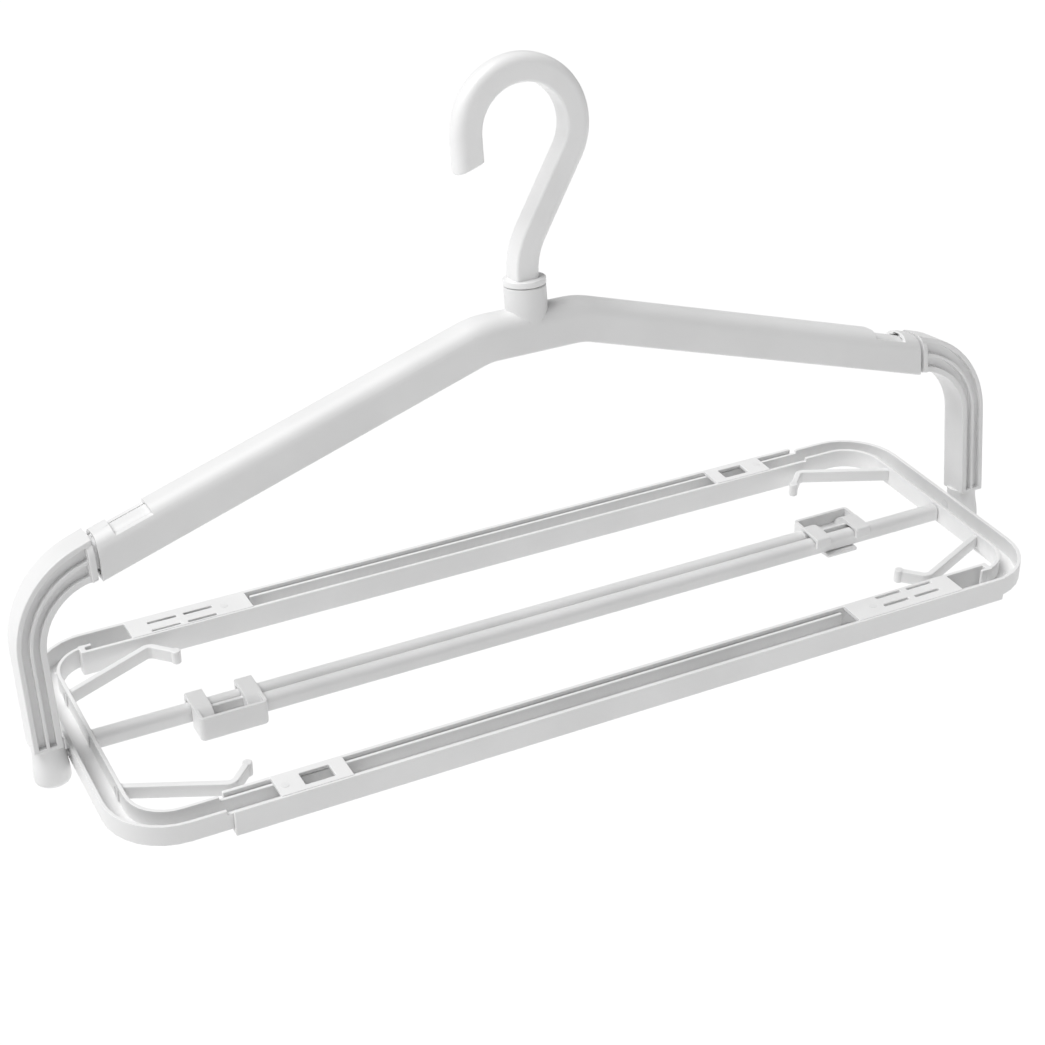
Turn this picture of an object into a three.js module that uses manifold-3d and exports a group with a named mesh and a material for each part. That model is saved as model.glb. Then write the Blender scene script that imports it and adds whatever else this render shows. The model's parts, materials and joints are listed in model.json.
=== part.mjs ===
// Folding travel hanger: a swivel hook on a shoulder beam, two arms that telescope out of the beam's
// ends, and a rack that swings on the arms' feet and lengthens with them.
// Millimetres, +Z up, X along the shoulders, -Y the front. The origin is where the rail carries the hook.
import * as THREE from 'three';
import { mergeVertices } from 'three/addons/utils/BufferGeometryUtils.js';
import Module from 'manifold-3d';

const wasm = await Module();
wasm.setup();

// Fits shared by the whole part
const gap = 0.3; // between pieces that seat on each other or slide in each other
const overrun = 2; // how far a cut runs past the wall it opens
const arcSteps = 8; // facets on a bend
const roundSteps = 28; // facets round a shaft, a bore or a boss

const hook = {
  innerRadius: 17.2, thickness: 10.6, depth: 10, backRadius: 4, edgeRadius: 1.1,
  offset: 2.6, tipLength: 11.2, tipSlant: 3.5, lowerRadius: 30, rootLength: 1,
  flangeThickness: 2.4, stemRadius: 4, grooveRadius: 2.9, stemEnd: 3.2, crownFacets: 20, bendFacets: 8,
};
const retainer = { outerRadius: 5.9, thickness: 2, mouth: 4.6 };
const shoulder = {
  drop: 93.2, slope: 17, halfSpan: 177.5, halfPlateau: 21, bendRadius: 30,
  depth: 16.6, height: 16, topRadius: 6.4, bottomRadius: 0.9, wall: 1.7, boreStart: 27.5,
  windowLength: 14.4, windowDepth: 2.9, endBridge: 8.8, keywayWidth: 5, keywayDepth: 1,
  slotWidth: 8.2, slotStart: 32, slotEnd: 12.5,
};
const neck = { height: 9, fillet: 2.6, pocketRadius: 6.9, pocketDepth: 8.5 };
const arm = {
  standOff: 1.5, collar: 2.2, collarRise: 1.3, depth: 13, reach: 34.5, legThickness: 11,
  outerRadius: 40, innerRadius: 24, rim: 2, innerRim: 2.4, rib: 1.3, web: 2.2, recessEnd: 7.9,
};
const tongue = {
  start: 34, height: 9.3, side: 1.8, roof: 1.9, padLength: 12, padPitch: 46,
  catchLength: 6, stopThickness: 2, stopDepth: 1.5,
};
const travel = 85; // how far an arm slides out along the slope
const foot = { width: 13.5, depth: 14.4, below: 10, cornerRadius: 3.4, round: 3, facets: 4 };
const pin = { radius: 1.4, headRadius: 2.1, headThickness: 1.3, seat: 10 };
const rack = {
  drop: 216, rise: 0.6, droop: 8.7, halfWidth: 66.5, cornerRadius: 25,
  channel: 10, height: 8.5, wall: 1.5, floor: 1.2, legReach: 104, drainRadius: 1.1,
};
const sleeve = {
  mouthInset: 19.5, rootReach: 4, rootWall: 2.4, wall: 1.6, floor: 1.8, plate: 1.3, plateProud: 0.3,
  windowPlate: 27.6, windowPlateInset: 18, window: 11.6, windowWidth: 6.8, windowShift: 2,
  slotPlate: 50.5, slotPlateInset: 21, slot: 12, slotWidth: 1.3, slotRow: 3, rowShift: 1.6,
  slotPitch: 15, slotInset: 15, coreInset: 1.4,
};
const tenon = { width: 2, height: 3.6, reach: 2.2, barb: 0.5 };
const bar = { width: 6.2, height: 6.5, topRadius: 2.8, halfGap: 0.3 };
const guide = {
  endRoom: 37.5, length: 27, boxWidth: 10.4, boxTop: 5, boxBottom: 5.2, boxWall: 1.5,
  finger: 7, fingerTop: 1.8, lip: 1.7, lipDrop: 3, tabInset: 6, tabThickness: 1.6, cornerRadius: 2,
};
const peg = {
  thickness: 2.6, height: 5.5, top: 3.1, rootInset: 34.5, elbowInset: 18.1, tipInset: 26.7,
  elbowReach: 36.5, tipReach: 44.9, elbowRadius: 3.4, tipRadius: 2.5,
};

const slope = THREE.MathUtils.degToRad(shoulder.slope);
const axisY = new THREE.Vector3(0, 1, 0);
const axisZ = new THREE.Vector3(0, 0, 1);

// Solids
function solid(geometry) {
  const bare = geometry.clone();
  bare.deleteAttribute('normal');
  bare.deleteAttribute('uv');
  const merged = mergeVertices(bare);
  return new wasm.Manifold(new wasm.Mesh({
    numProp: 3,
    vertProperties: new Float32Array(merged.attributes.position.array),
    triVerts: new Uint32Array(merged.index.array),
  }));
}

function geometryOf(body) {
  const { vertProperties, triVerts } = body.getMesh();
  const geometry = new THREE.BufferGeometry();
  geometry.setAttribute('position', new THREE.BufferAttribute(new Float32Array(vertProperties), 3));
  geometry.setIndex(new THREE.BufferAttribute(new Uint32Array(triVerts), 1));
  const faceted = geometry.toNonIndexed();
  faceted.computeVertexNormals();
  return faceted;
}

function joined(...bodies) {
  return bodies.reduce((whole, body) => whole.add(body));
}

function cut(body, ...tools) {
  return tools.reduce((rest, tool) => rest.subtract(tool), body);
}

// A block between two corners
function block(low, high) {
  const size = new THREE.Vector3().subVectors(high, low);
  const centre = new THREE.Vector3().addVectors(low, high).divideScalar(2);
  return solid(new THREE.BoxGeometry(size.x, size.y, size.z).translate(centre.x, centre.y, centre.z));
}

function corner(x, y, z) {
  return new THREE.Vector3(x, y, z);
}

// A round bar along X from one place to another
function roundAlongX(radius, from, to, y = 0, z = 0) {
  const shape = new THREE.CylinderGeometry(radius, radius, to - from, roundSteps);
  return solid(shape.rotateZ(Math.PI / 2).translate((from + to) / 2, y, z));
}

// A body turned about Z from [radius, height] pairs that start and end on the axis
function turned(profile) {
  const points = profile.map(([radius, height]) => new THREE.Vector2(radius, height));
  return solid(new THREE.LatheGeometry([...points, points[0]], roundSteps).rotateX(Math.PI / 2));
}

// A flat outline in X and Y, raised from one height to another
function raised(shape, bottom, top) {
  const options = { depth: top - bottom, bevelEnabled: false, curveSegments: arcSteps / 2 };
  return solid(new THREE.ExtrudeGeometry(shape, options).translate(0, 0, bottom));
}

// A flat outline in Y and Z, carried along X from one place to another
function alongX(shape, from, to) {
  return swept(shape, [from, to].map((x) => ({ at: corner(x, 0, 0), across: axisY, up: axisZ })));
}

// A flat outline in X and Z, as thick in Y as its depth and centred on the hanger's plane
function upright(shape, depth, middle = 0) {
  const options = { depth, bevelEnabled: false, curveSegments: arcSteps };
  const geometry = new THREE.ExtrudeGeometry(shape, options).translate(0, 0, -depth / 2);
  return solid(geometry.rotateX(Math.PI / 2).translate(0, middle, 0));
}

function outline(pairs) {
  return new THREE.Shape(pairs.map(([across, up]) => new THREE.Vector2(across, up)));
}

function rectangle(width, height) {
  const x = width / 2;
  const y = height / 2;
  return outline([[-x, -y], [x, -y], [x, y], [-x, y]]);
}

// A rectangle about the origin with its own radius on the upper and the lower corners
function roundedSection(width, height, upperRadius, lowerRadius) {
  const x = width / 2;
  const y = height / 2;
  return new THREE.Shape()
    .moveTo(-x + lowerRadius, -y)
    .lineTo(x - lowerRadius, -y)
    .absarc(x - lowerRadius, -y + lowerRadius, lowerRadius, -Math.PI / 2, 0)
    .lineTo(x, y - upperRadius)
    .absarc(x - upperRadius, y - upperRadius, upperRadius, 0, Math.PI / 2)
    .lineTo(-x + upperRadius, y)
    .absarc(-x + upperRadius, y - upperRadius, upperRadius, Math.PI / 2, Math.PI)
    .lineTo(-x, -y + lowerRadius)
    .absarc(-x + lowerRadius, -y + lowerRadius, lowerRadius, Math.PI, 1.5 * Math.PI);
}

// A rail's section, open at the top: a floor and two walls
function channelSection(width, height, wall, floor) {
  const x = width / 2;
  const y = height / 2;
  return outline([
    [-x, -y], [x, -y], [x, y], [x - wall, y],
    [x - wall, floor - y], [wall - x, floor - y], [wall - x, y], [-x, y],
  ]);
}

// A path through corner points, each corner but the ends rounded
function filletedPath(points, radius) {
  const path = new THREE.Path().moveTo(points[0].x, points[0].y);
  for (let i = 1; i + 1 < points.length; i++) {
    const into = points[i].clone().sub(points[i - 1]).normalize();
    const out = points[i + 1].clone().sub(points[i]).normalize();
    const turn = Math.atan2(into.cross(out), into.dot(out));
    const reach = radius * Math.tan(Math.abs(turn) / 2);
    const side = Math.sign(turn);
    const start = points[i].clone().addScaledVector(into, -reach);
    const centre = start.clone().addScaledVector(new THREE.Vector2(-into.y, into.x), side * radius);
    path.lineTo(start.x, start.y);
    const from = start.clone().sub(centre).angle();
    path.absarc(centre.x, centre.y, radius, from, from + turn, side < 0);
  }
  const last = points[points.length - 1];
  return path.lineTo(last.x, last.y);
}

function realCurves(path) {
  return path.curves.filter((curve) => curve.getLength() > Number.EPSILON ** 0.5);
}

// Stations along a path: straights need their ends only, bends are divided
function stations(path, place, divisionsOf = () => arcSteps) {
  const list = [];
  realCurves(path).forEach((curve, number) => {
    const divisions = curve.isLineCurve ? 1 : divisionsOf(curve);
    for (let k = number === 0 ? 0 : 1; k <= divisions; k++) {
      list.push(place(curve.getPoint(k / divisions), curve.getTangent(k / divisions)));
    }
  });
  return list;
}

// Places a section so that its first direction is left of travel, in the hanger's plane or in the rack's
function inHangerPlane(point, heading) {
  return { at: corner(point.x, 0, point.y), across: corner(-heading.y, 0, heading.x), up: axisY };
}

function inRackPlane(point, heading) {
  return { at: corner(point.x, point.y, 0), across: corner(-heading.y, heading.x, 0), up: axisZ };
}

function sectionPoints(shape) {
  const points = shape.extractPoints(arcSteps / 2).shape;
  return points.filter((point, i) => (
    point.distanceTo(points[(i + 1) % points.length]) > Number.EPSILON ** 0.5
  ));
}

// A closed body carried through stations, each with a place and two directions for the section
function swept(shape, places) {
  const section = sectionPoints(shape);
  const count = section.length;
  const positions = places.flatMap(({ at, across, up }) => section.flatMap((point) => (
    at.clone().addScaledVector(across, point.x).addScaledVector(up, point.y).toArray()
  )));
  const index = [];
  for (let ring = 0; ring + 1 < places.length; ring++) {
    for (let i = 0; i < count; i++) {
      const near = ring * count;
      const far = near + count;
      const j = (i + 1) % count;
      index.push(near + i, near + j, far + j, near + i, far + j, far + i);
    }
  }
  const last = (places.length - 1) * count;
  for (const [a, b, c] of THREE.ShapeUtils.triangulateShape(section, [])) {
    index.push(a, c, b, last + a, last + b, last + c);
  }
  const travel = places[1].at.clone().sub(places[0].at);
  if (new THREE.Vector3().crossVectors(places[0].across, places[0].up).dot(travel) < 0) index.reverse();
  const geometry = new THREE.BufferGeometry();
  geometry.setAttribute('position', new THREE.Float32BufferAttribute(positions, 3));
  geometry.setIndex(index);
  return solid(geometry);
}

// Hook: a rounded back and a flat inside, on a flange with a stem below it
const hookMiddle = hook.innerRadius + hook.thickness / 2;
const crown = new THREE.Vector2(hook.offset, -Math.sqrt(hook.innerRadius ** 2 - hook.offset ** 2));
const shoulderTop = -shoulder.drop + shoulder.height / 2;
const neckTop = shoulderTop + neck.height;
const flangeTop = neckTop + gap + hook.flangeThickness;
const neckRadius = shoulder.depth / 2;
const pocketTop = shoulderTop - shoulder.height + neck.pocketDepth;

function hookPath() {
  const lower = new THREE.Vector2(hook.lowerRadius, flangeTop + hook.rootLength);
  const reach = lower.clone().sub(crown);
  const turn = reach.angle() + Math.acos((hookMiddle + hook.lowerRadius) / reach.length());
  return new THREE.Path()
    .moveTo(crown.x - hookMiddle, crown.y - hook.tipLength)
    .lineTo(crown.x - hookMiddle, crown.y)
    .absarc(crown.x, crown.y, hookMiddle, Math.PI, turn, true)
    .absarc(lower.x, lower.y, hook.lowerRadius, turn + Math.PI, Math.PI)
    .lineTo(0, flangeTop - hook.flangeThickness / 2);
}

function hookSection() {
  const x = hook.thickness / 2;
  const y = hook.depth / 2;
  const { backRadius: back, edgeRadius: edge } = hook;
  return new THREE.Shape()
    .moveTo(-x + edge, -y)
    .lineTo(x - back, -y)
    .absarc(x - back, -y + back, back, -Math.PI / 2, 0)
    .lineTo(x, y - back)
    .absarc(x - back, y - back, back, 0, Math.PI / 2)
    .lineTo(-x + edge, y)
    .absarc(-x + edge, y - edge, edge, Math.PI / 2, Math.PI)
    .lineTo(-x, -y + edge)
    .absarc(-x + edge, -y + edge, edge, Math.PI, 1.5 * Math.PI);
}

function hookPlaces() {
  const divisionsOf = (curve) => (curve.xRadius === hookMiddle ? hook.crownFacets : hook.bendFacets);
  const places = stations(hookPath(), inHangerPlane, divisionsOf);
  places[0].across.z -= hook.tipSlant / hook.thickness;
  return places;
}

function hookBody() {
  const stemBottom = pocketTop - gap - retainer.thickness - gap - hook.stemEnd;
  const grooveTop = pocketTop;
  const grooveBottom = stemBottom + hook.stemEnd;
  return joined(
    swept(hookSection(), hookPlaces()),
    turned([
      [0, stemBottom], [hook.grooveRadius, stemBottom], [hook.stemRadius, stemBottom + hook.stemEnd / 2],
      [hook.stemRadius, grooveBottom], [hook.grooveRadius, grooveBottom], [hook.grooveRadius, grooveTop],
      [hook.stemRadius, grooveTop], [hook.stemRadius, neckTop + gap], [neckRadius, neckTop + gap],
      [neckRadius, flangeTop], [0, flangeTop],
    ]),
  );
}

// Spring clip that keeps the stem in the neck, pushed on from the side
function retainerBody() {
  const inner = hook.grooveRadius + gap;
  const outerAngle = Math.asin(retainer.mouth / 2 / retainer.outerRadius);
  const innerAngle = Math.asin(retainer.mouth / 2 / inner);
  const shape = new THREE.Shape()
    .absarc(0, 0, retainer.outerRadius, outerAngle, 2 * Math.PI - outerAngle)
    .absarc(0, 0, inner, -innerAngle, innerAngle - 2 * Math.PI, true);
  const top = pocketTop - gap;
  const options = { depth: retainer.thickness, bevelEnabled: false, curveSegments: roundSteps };
  return solid(new THREE.ExtrudeGeometry(shape, options).translate(0, 0, top - retainer.thickness));
}

// Shoulder beam: heights on its sloping centre line and on its top edge, by distance from the neck
function centreLine(x) {
  return -shoulder.drop - (x - shoulder.halfPlateau) * Math.tan(slope);
}

function topLine(x) {
  return centreLine(x) + shoulder.height / 2 / Math.cos(slope);
}

// A section square to the slope, at a distance from the neck, and one cut upright there
function squareStation(x) {
  return {
    at: corner(x, 0, centreLine(x)), across: axisY, up: corner(Math.sin(slope), 0, Math.cos(slope)),
  };
}

function uprightStation(x) {
  return { at: corner(x, 0, centreLine(x)), across: axisY, up: corner(0, 0, 1 / Math.cos(slope)) };
}

function mirrored(body) {
  const { vertProperties, triVerts } = body.getMesh();
  const geometry = new THREE.BufferGeometry();
  geometry.setAttribute('position', new THREE.BufferAttribute(new Float32Array(vertProperties), 3));
  geometry.setIndex([...triVerts].reverse());
  return solid(geometry.scale(-1, 1, 1));
}

function bothSides(body) {
  return joined(body, mirrored(body));
}

// A block in the slope's own directions: along it, across it and square to it
function slopedBlock(fromX, toX, width, low, high, radius = 0) {
  const height = high - low;
  const section = radius > 0 ? roundedSection(width, height, radius, 0) : rectangle(width, height);
  const places = [fromX, toX].map((x) => {
    const place = squareStation(x);
    place.at.addScaledVector(place.up, (low + high) / 2);
    return place;
  });
  return swept(section, places);
}

// An oval boss square to the slope
function ovalBoss(x, length, width, low, high) {
  const shape = new THREE.Shape().absellipse(0, 0, length / 2, width / 2, 0, 2 * Math.PI);
  const options = { depth: high - low, bevelEnabled: false, curveSegments: arcSteps };
  const geometry = new THREE.ExtrudeGeometry(shape, options).translate(0, 0, low);
  return solid(geometry.rotateY(slope).translate(x, 0, centreLine(x)));
}

const boreWidth = shoulder.depth - 2 * shoulder.wall;
const boreTop = shoulder.height / 2 - shoulder.wall;
const boreRadius = shoulder.topRadius - shoulder.wall;
const windowOuter = shoulder.halfSpan - shoulder.endBridge;
const windowInner = windowOuter - shoulder.windowLength;

function shoulderPlaces() {
  const end = shoulder.halfSpan;
  const points = [
    new THREE.Vector2(-end, centreLine(end)), new THREE.Vector2(-shoulder.halfPlateau, -shoulder.drop),
    new THREE.Vector2(shoulder.halfPlateau, -shoulder.drop), new THREE.Vector2(end, centreLine(end)),
  ];
  const places = stations(filletedPath(points, shoulder.bendRadius), (point, heading) => (
    { at: corner(point.x, 0, point.y), across: axisY, up: corner(-heading.y, 0, heading.x) }
  ));
  places[0].up = uprightStation(end).up;
  places[places.length - 1].up = uprightStation(end).up;
  return places;
}

function shoulderBody() {
  const { depth, height, topRadius, bottomRadius } = shoulder;
  const beam = swept(roundedSection(depth, height, topRadius, bottomRadius), shoulderPlaces());
  const root = neckRadius + neck.fillet;
  const flare = [];
  for (let k = 0; k <= arcSteps; k++) {
    const angle = (k / arcSteps) * Math.PI / 2;
    flare.push([root - neck.fillet * Math.sin(angle), shoulderTop + neck.fillet * (1 - Math.cos(angle))]);
  }
  const collar = turned([
    [0, -shoulder.drop], [root, -shoulder.drop], ...flare, [neckRadius, neckTop], [0, neckTop],
  ]).intersect(block(
    corner(-root, -depth / 2, -shoulder.drop),
    corner(root, depth / 2, neckTop),
  ));
  const stemBore = hook.stemRadius + gap;
  const shaftBore = turned([
    [0, shoulderTop - height - overrun], [neck.pocketRadius, shoulderTop - height - overrun],
    [neck.pocketRadius, pocketTop], [stemBore, pocketTop], [stemBore, neckTop + overrun],
    [0, neckTop + overrun],
  ]);
  const bore = slopedBlock(
    shoulder.boreStart, shoulder.halfSpan + height, boreWidth,
    shoulder.wall - height / 2, boreTop, boreRadius,
  );
  const window = slopedBlock(
    windowInner, windowOuter, depth + overrun, height / 2 - shoulder.windowDepth, height / 2 + overrun,
  );
  const keyway = slopedBlock(
    windowOuter - overrun, shoulder.halfSpan + height, shoulder.keywayWidth,
    boreTop - overrun, boreTop + shoulder.keywayDepth, shoulder.keywayDepth,
  );
  const underside = slopedBlock(
    shoulder.slotStart, shoulder.halfSpan - shoulder.slotEnd, shoulder.slotWidth,
    -height / 2 - overrun, shoulder.wall + overrun - height / 2,
  );
  return cut(joined(beam, collar), shaftBore, bothSides(joined(bore, window, keyway, underside)));
}

// Arm: collar, bent leg with two recesses and a web in each face, foot, and the tongue in the beam
const collarStart = shoulder.halfSpan + arm.standOff;
const collarEnd = collarStart + arm.collar;
const legOuter = shoulder.halfSpan + arm.reach;
const legInner = legOuter - arm.legThickness;
const bendX = legOuter - arm.outerRadius;
const bendZ = topLine(bendX) - arm.outerRadius / Math.cos(slope);
const innerBendX = legInner - arm.innerRadius;
const footTop = -rack.drop + arm.recessEnd;
const footX = (legOuter + legInner) / 2 - (foot.width - arm.legThickness) / 2 + gap * 2;
const rackEnd = footX - foot.width / 2 - gap * 2;

// The outline between two curves round the bend, from the collar down to a height
function bendBand(outer, inner, startX, endZ) {
  const innerAngle = Math.acos((startX - inner.x) / inner.radius);
  return new THREE.Shape()
    .moveTo(inner.x + inner.radius, endZ)
    .lineTo(outer.x + outer.radius, endZ)
    .absarc(outer.x, bendZ, outer.radius, 0, Math.PI / 2 - slope)
    .lineTo(startX, outer.onTop(startX))
    .absarc(inner.x, bendZ, inner.radius, innerAngle, 0, true);
}

function curveRoundBend(x, radius) {
  const onTop = (at) => bendZ + radius / Math.cos(slope) - (at - x) * Math.tan(slope);
  return { x, radius, onTop };
}

function armBody() {
  const middleX = (bendX + innerBendX) / 2;
  const middleRadius = (legOuter + legInner) / 2 - middleX;
  const outside = curveRoundBend(bendX, arm.outerRadius);
  const inside = curveRoundBend(innerBendX, arm.innerRadius);
  const limb = upright(bendBand(outside, inside, collarEnd - arm.rim, footTop), arm.depth);
  const outerRim = curveRoundBend(bendX, arm.outerRadius - arm.rim);
  const innerRim = curveRoundBend(innerBendX, arm.innerRadius + arm.innerRim);
  const recesses = [
    [outerRim, curveRoundBend(middleX, middleRadius + arm.rib / 2)],
    [curveRoundBend(middleX, middleRadius - arm.rib / 2), innerRim],
  ].flatMap(([outer, inner]) => [-1, 1].map((side) => {
    const shape = bendBand(outer, inner, collarEnd + gap, footTop);
    return upright(shape, arm.depth, side * (arm.depth + arm.web) / 2);
  }));
  const { depth, height, topRadius, bottomRadius } = shoulder;
  const collar = swept(
    roundedSection(depth, height - arm.collarRise, topRadius, bottomRadius),
    [collarStart, collarEnd].map((x) => {
      const place = uprightStation(x);
      place.at.addScaledVector(place.up, arm.collarRise / 2);
      return place;
    }),
  );
  const seatEnd = footX - foot.width / 2 + pin.seat;
  const seat = roundAlongX(pin.radius + gap, footX - foot.width, seatEnd, 0, -rack.drop);
  return cut(joined(cut(limb, ...recesses), collar, footBody(), tongueBody()), seat);
}

function footBody() {
  const { width, depth, cornerRadius, round, below } = foot;
  const height = below + arm.recessEnd;
  const options = {
    depth: height - 2 * round, bevelEnabled: true, bevelThickness: round, bevelSize: round,
    bevelOffset: -round, bevelSegments: foot.facets, curveSegments: foot.facets / 2,
  };
  const plan = roundedSection(width, depth, cornerRadius, cornerRadius);
  const geometry = new THREE.ExtrudeGeometry(plan, options);
  return solid(geometry.translate(footX, 0, -rack.drop - below + round));
}

function tongueBody() {
  const crest = boreTop - gap;
  const bottom = crest - tongue.height;
  const padBottom = shoulder.wall - shoulder.height / 2 + gap;
  const width = boreWidth - 2 * gap;
  const body = slopedBlock(tongue.start, collarEnd - arm.collar / 2, width, bottom, crest, boreRadius);
  const hollow = slopedBlock(
    tongue.start - overrun, collarStart - arm.collar, width - 2 * tongue.side,
    bottom - overrun, crest - tongue.roof,
  );
  const catchX = (windowOuter + shoulder.halfSpan) / 2;
  const latch = ovalBoss(
    catchX, tongue.catchLength, shoulder.keywayWidth - 2 * gap,
    crest - tongue.roof / 2, boreTop + shoulder.keywayDepth - gap,
  );
  const stopFace = shoulder.halfSpan - shoulder.slotEnd - gap - travel * Math.cos(slope);
  const stop = slopedBlock(
    stopFace - tongue.stopThickness, stopFace, shoulder.slotWidth - 2 * gap,
    padBottom - tongue.stopDepth, crest - tongue.roof / 2,
  );
  const pads = [0, 1].flatMap((number) => [-1, 1].map((side) => {
    const start = tongue.start + number * tongue.padPitch;
    const pad = slopedBlock(start, start + tongue.padLength, tongue.side, padBottom, crest - boreRadius);
    return pad.translate(0, side * (width - tongue.side) / 2, 0);
  }));
  return joined(cut(body, hollow), latch, stop, ...pads);
}

// Pivot pin: seated in the foot, its head inside the end frame's channel
function pinBody() {
  const wallInside = rackEnd - rack.wall;
  const seatEnd = footX - foot.width / 2 + pin.seat - gap;
  const headEnd = wallInside - gap;
  return joined(
    roundAlongX(pin.radius, headEnd - pin.headThickness / 2, seatEnd, 0, -rack.drop),
    roundAlongX(pin.headRadius, headEnd - pin.headThickness, headEnd, 0, -rack.drop),
  );
}

// Rack, drawn level about its rails' mid-height and for the right half; the left half is the same, turned
// round. The sleeve rail is at the front, and the leg that enters the other half's sleeve is at the back.
const rackTop = rack.height / 2;
const legOut = rack.halfWidth - sleeve.wall - gap;
const legY = legOut - rack.channel / 2;
const frameY = -rack.halfWidth + rack.channel / 2;
const endX = rackEnd - rack.channel / 2;
const innerFace = rackEnd - rack.channel;
const sleeveWidth = rack.channel + 2 * gap + 2 * sleeve.wall;
const sleeveY = -rack.halfWidth + sleeveWidth / 2;
const cornerStart = rackEnd - rack.cornerRadius;
const sleeveRoot = cornerStart + sleeve.rootReach;
const sleeveMouth = sleeveRoot - sleeve.mouthInset;
const sleeveBottom = -rackTop - gap - sleeve.floor;
const barY = -bar.halfGap - bar.width / 2;
const pegY = rack.halfWidth - peg.rootInset;
const guideFrom = guide.endRoom - innerFace;
const guideTo = guideFrom + guide.length;

// A barbed tenon for a hole in the end frame's inner wall, and the hole
function tenonBody(y) {
  const inside = innerFace + rack.wall + gap;
  const barbWidth = tenon.width + 2 * tenon.barb;
  return joined(
    block(
      corner(innerFace - rack.wall, y - tenon.width / 2, -tenon.height / 2),
      corner(inside + tenon.reach, y + tenon.width / 2, tenon.height / 2),
    ),
    block(
      corner(inside, y - barbWidth / 2, -tenon.height / 2),
      corner(inside + tenon.reach / 2, y + barbWidth / 2, tenon.height / 2),
    ),
  );
}

function tenonHole(y) {
  const width = tenon.width + 2 * gap;
  const height = tenon.height + 2 * gap;
  return block(
    corner(innerFace - overrun, y - width / 2, -height / 2),
    corner(innerFace + rack.wall + overrun, y + width / 2, height / 2),
  );
}

function pegBody(side) {
  const points = [
    new THREE.Vector2(innerFace - gap, side * pegY),
    new THREE.Vector2(innerFace - peg.elbowReach, side * (rack.halfWidth - peg.elbowInset)),
    new THREE.Vector2(innerFace - peg.tipReach, side * (rack.halfWidth - peg.tipInset)),
  ];
  const section = rectangle(peg.thickness, peg.height);
  const places = stations(filletedPath(points, peg.elbowRadius), inRackPlane);
  places[0].across.set(0, -1 / Math.cos(points[1].clone().sub(points[0]).negate().angle()), 0);
  const rail = swept(section, places).translate(0, 0, peg.top - peg.height / 2);
  const bead = new THREE.Shape().absarc(points[2].x, points[2].y, peg.tipRadius, 0, 2 * Math.PI);
  return joined(rail, raised(bead, peg.top - peg.height, peg.top), tenonBody(side * pegY));
}

function endFrameBody() {
  const legEnd = cornerStart - sleeve.rootWall / 2;
  const points = [
    new THREE.Vector2(-rack.legReach, legY), new THREE.Vector2(endX, legY),
    new THREE.Vector2(endX, frameY), new THREE.Vector2(legEnd, frameY),
  ];
  const channel = swept(
    channelSection(rack.channel, rack.height, rack.wall, rack.floor),
    stations(filletedPath(points, rack.cornerRadius - rack.channel / 2), inRackPlane),
  );
  const legTop = block(
    corner(-rack.legReach - overrun, legY - rack.channel, rackTop - sleeve.plate - gap),
    corner(sleeveMouth + overrun, legY + rack.channel, rackTop + overrun),
  );
  const cornerInset = rack.cornerRadius * (1 - Math.SQRT1_2) + rack.channel / 2 * Math.SQRT1_2;
  const drain = new THREE.Shape().absarc(
    rackEnd - cornerInset, -rack.halfWidth + cornerInset, rack.drainRadius, 0, 2 * Math.PI,
  );
  return cut(channel, legTop, raised(drain, -rackTop - overrun, rack.floor - rackTop + overrun));
}

// Closes the sleeve's root: a sill under the end frame's floor and a cheek beside its inner wall
function rootWallBody() {
  const from = sleeveRoot - sleeve.rootWall;
  return joined(
    block(
      corner(from, -rack.halfWidth, sleeveBottom),
      corner(sleeveRoot, -rack.halfWidth + sleeveWidth, rack.floor - rackTop),
    ),
    block(
      corner(from, frameY + rack.channel / 2 - rack.wall, sleeveBottom),
      corner(sleeveRoot, -rack.halfWidth + sleeveWidth, rackTop),
    ),
  );
}

function plateOver(from, to) {
  return block(
    corner(from, sleeveY - sleeveWidth / 2 + sleeve.wall / 2, rackTop - sleeve.plate),
    corner(to, sleeveY + sleeveWidth / 2 - sleeve.wall / 2, rackTop + sleeve.plateProud),
  );
}

function floorOpening(from, to) {
  const inset = sleeve.wall + sleeve.coreInset;
  return block(
    corner(from + sleeve.coreInset, sleeveY - sleeveWidth / 2 + inset, -rack.height),
    corner(to - sleeve.coreInset, sleeveY + sleeveWidth / 2 - inset, -rackTop + gap / 2),
  );
}

function sleeveBody() {
  const height = rackTop - sleeveBottom;
  const rail = swept(
    channelSection(sleeveWidth, height, sleeve.wall, sleeve.floor),
    [-sleeveMouth, sleeveRoot].map((x) => (
      { at: corner(x, sleeveY, (rackTop + sleeveBottom) / 2), across: axisY, up: axisZ }
    )),
  );
  const windowEnd = -sleeveMouth + sleeve.windowPlateInset;
  const windowMiddle = windowEnd + sleeve.windowPlate / 2 + sleeve.windowShift;
  const slotEnd = sleeveRoot - sleeve.slotPlateInset;
  const slotStart = slotEnd - sleeve.slotPlate;
  const window = block(
    corner(windowMiddle - sleeve.window / 2, sleeveY - sleeve.windowWidth / 2, 0),
    corner(windowMiddle + sleeve.window / 2, sleeveY + sleeve.windowWidth / 2, rackTop + overrun),
  );
  const slots = [-1, 1].flatMap((row) => [0, 1].map((number) => {
    const start = slotStart + sleeve.slotInset + number * sleeve.slotPitch;
    const y = sleeveY + sleeve.rowShift + row * sleeve.slotRow;
    return block(
      corner(start, y - sleeve.slotWidth / 2, 0),
      corner(start + sleeve.slot, y + sleeve.slotWidth / 2, rackTop + overrun),
    );
  }));
  return cut(
    joined(rail, plateOver(windowEnd, windowEnd + sleeve.windowPlate), plateOver(slotStart, slotEnd)),
    window, ...slots,
    floorOpening(windowEnd, windowEnd + sleeve.windowPlate), floorOpening(slotStart, slotEnd),
  );
}

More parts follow.
